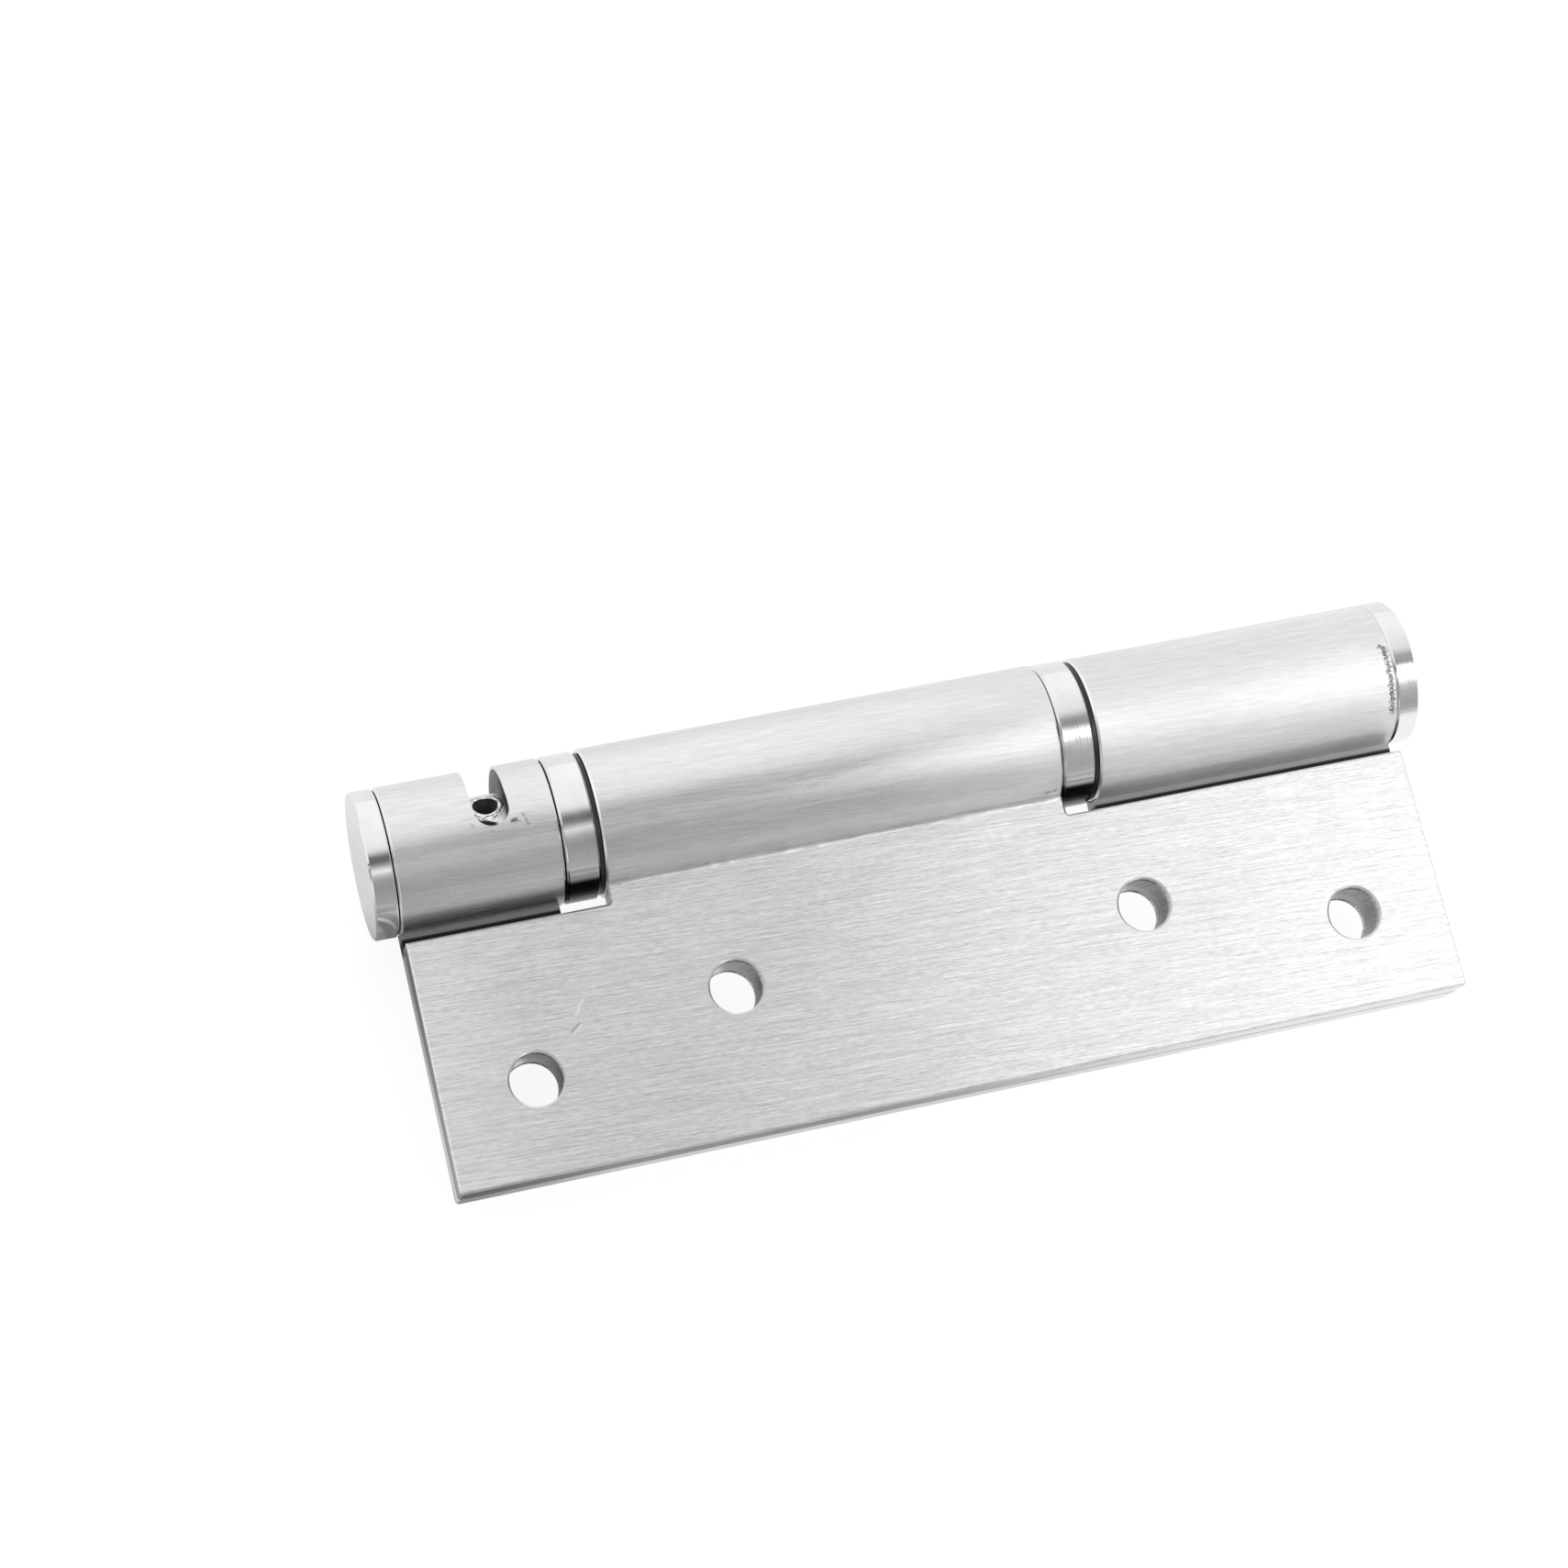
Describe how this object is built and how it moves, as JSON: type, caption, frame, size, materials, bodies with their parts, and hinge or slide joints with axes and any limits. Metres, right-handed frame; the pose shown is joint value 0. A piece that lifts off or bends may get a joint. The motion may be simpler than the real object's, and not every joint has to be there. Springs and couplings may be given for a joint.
{
  "type": "spring loaded door hinge",
  "caption": "Self-closing butt hinge: a spring in the barrel shuts it, a pin in a slotted knuckle sets its tension, and countersunk holes in both leaves take the screws.",
  "frame": {"origin": "on the pivot axis, half way along the leaves", "axes": "+X along the pivot from the short knuckle to the long one, +Z square to the closed leaves on the door leaf's side, the leaves reach towards -Y"},
  "size_m": [0.1328, 0.0508, 0.0207],
  "materials": {
    "leaf_steel": "brushed",
    "knuckle_steel": "brushed",
    "polished_steel": "polished",
    "pin_steel": "polished",
    "turned_steel": "turned",
    "spring_steel": "oiled",
    "bush_bronze": "satin",
    "washer_plastic": "matte"
  },
  "bodies": {
    "frame_side": {"frame_leaf": "leaf_steel", "short_knuckle": "knuckle_steel", "long_knuckle": "knuckle_steel", "short_end_cap": "polished_steel", "long_end_cap": "polished_steel", "left_bearing_ring": "polished_steel", "left_thrust_washer": "washer_plastic", "long_knuckle_inner_bush": "bush_bronze", "long_knuckle_outer_bush": "bush_bronze"},
    "door_side": {"door_leaf": "leaf_steel", "middle_knuckle": "knuckle_steel", "right_bearing_ring": "polished_steel", "right_thrust_washer": "washer_plastic", "middle_knuckle_bush": "bush_bronze", "spring_anchor": "turned_steel", "anchor_pin_collar": "pin_steel", "anchor_pin": "pin_steel", "torsion_spring": "spring_steel"},
    "adjuster": {"tension_adjuster": "turned_steel", "tension_pin": "pin_steel", "spring_driver": "turned_steel"}
  },
  "joints": [
    {"name": "door_swing", "type": "hinge", "parent": "frame_side", "child": "door_side", "pos_m": [0, 0, 0], "axis": [-1, 0, 0], "range_deg": [0, 180], "stiffness_Nm_per_rad": 0.75, "springref_deg": -34.38, "deforming": ["torsion_spring"]},
    {"name": "tension_adjuster_turn", "type": "hinge", "parent": "frame_side", "child": "adjuster", "pos_m": [0, 0, 0], "axis": [1, 0, 0], "range_deg": [0, 142], "stiffness_Nm_per_rad": 0.75, "springref_deg": -34.38, "deforming": ["torsion_spring"]}
  ]
}
